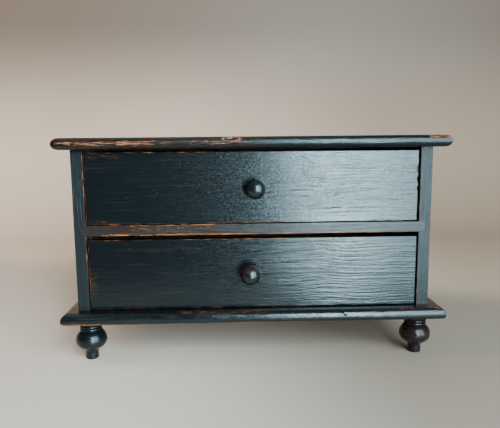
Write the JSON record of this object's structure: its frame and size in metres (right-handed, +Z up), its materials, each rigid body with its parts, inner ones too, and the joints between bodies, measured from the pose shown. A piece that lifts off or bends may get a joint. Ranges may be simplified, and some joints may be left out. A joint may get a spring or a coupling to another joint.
{
  "type": "jewelry box",
  "caption": "Low wooden chest for jewelry: stacked dovetailed drawers with turned knobs, moulded top and base boards, turned bun feet.",
  "frame": {"origin": "on the floor, under the middle of the bounding box, which includes the knobs", "axes": "+X to the chest's right as one faces the drawers, +Y from the drawers to the back, +Z up"},
  "size_m": [0.3986, 0.2374, 0.234],
  "materials": {
    "black_paint": "brushed blue-black paint on pine, semi-gloss, worn through to brown wood along the edges",
    "bare_pine": "unpainted, aged and slightly dusty pine",
    "nail_iron": "dull dark iron"
  },
  "bodies": {
    "case": {"top_board": "black_paint", "left_side": "black_paint", "right_side": "black_paint", "base_board": "black_paint", "front_rail": "black_paint", "left_runner": "bare_pine", "right_runner": "bare_pine", "back_upper_board": "bare_pine", "back_lower_board": "bare_pine", "foot_front_left": "black_paint", "foot_front_right": "black_paint", "foot_rear_left": "black_paint", "foot_rear_right": "black_paint", "top_nails": "nail_iron", "base_nails": "nail_iron", "back_nails": "nail_iron", "runner_nails": "nail_iron"},
    "upper_drawer": {"upper_drawer_front": "black_paint", "upper_drawer_left_side": "bare_pine", "upper_drawer_right_side": "bare_pine", "upper_drawer_back": "bare_pine", "upper_drawer_bottom": "bare_pine", "upper_drawer_knob": "black_paint", "upper_drawer_nails": "nail_iron"},
    "lower_drawer": {"lower_drawer_front": "black_paint", "lower_drawer_left_side": "bare_pine", "lower_drawer_right_side": "bare_pine", "lower_drawer_back": "bare_pine", "lower_drawer_bottom": "bare_pine", "lower_drawer_knob": "black_paint", "lower_drawer_nails": "nail_iron"}
  },
  "joints": [
    {"name": "upper_drawer_slide", "type": "slide", "parent": "case", "child": "upper_drawer", "axis": [0, -1, 0], "range_m": [0, 0.165]},
    {"name": "lower_drawer_slide", "type": "slide", "parent": "case", "child": "lower_drawer", "axis": [0, -1, 0], "range_m": [0, 0.165]}
  ]
}
